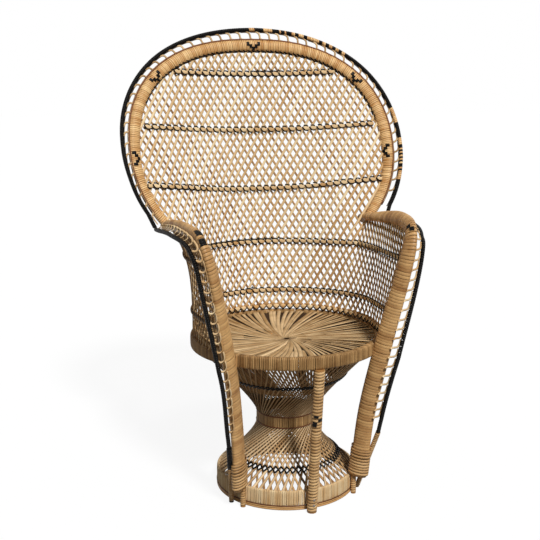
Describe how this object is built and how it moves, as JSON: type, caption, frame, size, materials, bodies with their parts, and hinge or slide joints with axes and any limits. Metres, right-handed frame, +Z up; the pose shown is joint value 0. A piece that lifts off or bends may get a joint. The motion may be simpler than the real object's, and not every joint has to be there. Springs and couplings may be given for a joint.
{
  "type": "peacock chair",
  "caption": "Round-backed wicker peacock chair: woven bucket seat with wrapped arms and back hoop on an hourglass pedestal of twisted stakes.",
  "frame": {"origin": "on the floor, under the middle of the chair's outline seen from above", "axes": "+Z up, the sitter faces -Y, +X is to the viewer's right when the chair is seen from its front"},
  "size_m": [0.8194, 0.6326, 1.2568],
  "materials": {
    "wrapped_rattan": "satin",
    "woven_reed": "matte",
    "black_cane": "gloss",
    "nail_steel": "worn"
  },
  "bodies": {
    "root": {"base_floor_hoop": "wrapped_rattan", "waist_band": "wrapped_rattan", "seat_pole_across": "wrapped_rattan", "seat_pole_fore_aft": "wrapped_rattan", "front_post": "wrapped_rattan", "rear_post": "wrapped_rattan", "right_arm_roll": "wrapped_rattan", "left_arm_roll": "wrapped_rattan", "right_post_foot": "wrapped_rattan", "left_post_foot": "wrapped_rattan", "right_trim_spur": "wrapped_rattan", "left_trim_spur": "wrapped_rattan", "back_hoop_roll": "wrapped_rattan", "base_band": "woven_reed", "lower_cone": "woven_reed", "upper_cone": "woven_reed", "seat_band": "woven_reed", "seat_deck": "woven_reed", "right_post_lashing": "woven_reed", "left_post_lashing": "woven_reed", "back_hoop_lacing": "woven_reed", "right_arm_lacing": "woven_reed", "left_arm_lacing": "woven_reed", "back_lattice": "woven_reed", "back_band_1": "woven_reed", "back_band_2": "woven_reed", "back_band_3": "woven_reed", "back_band_4": "woven_reed", "back_band_5": "woven_reed", "lower_twine_ring": "black_cane", "upper_twine_ring": "black_cane", "back_hoop_trim": "black_cane", "right_arm_trim": "black_cane", "left_arm_trim": "black_cane", "hem_band": "black_cane", "front_post_nail_1": "nail_steel", "front_post_nail_2": "nail_steel"}
  },
  "joints": []
}
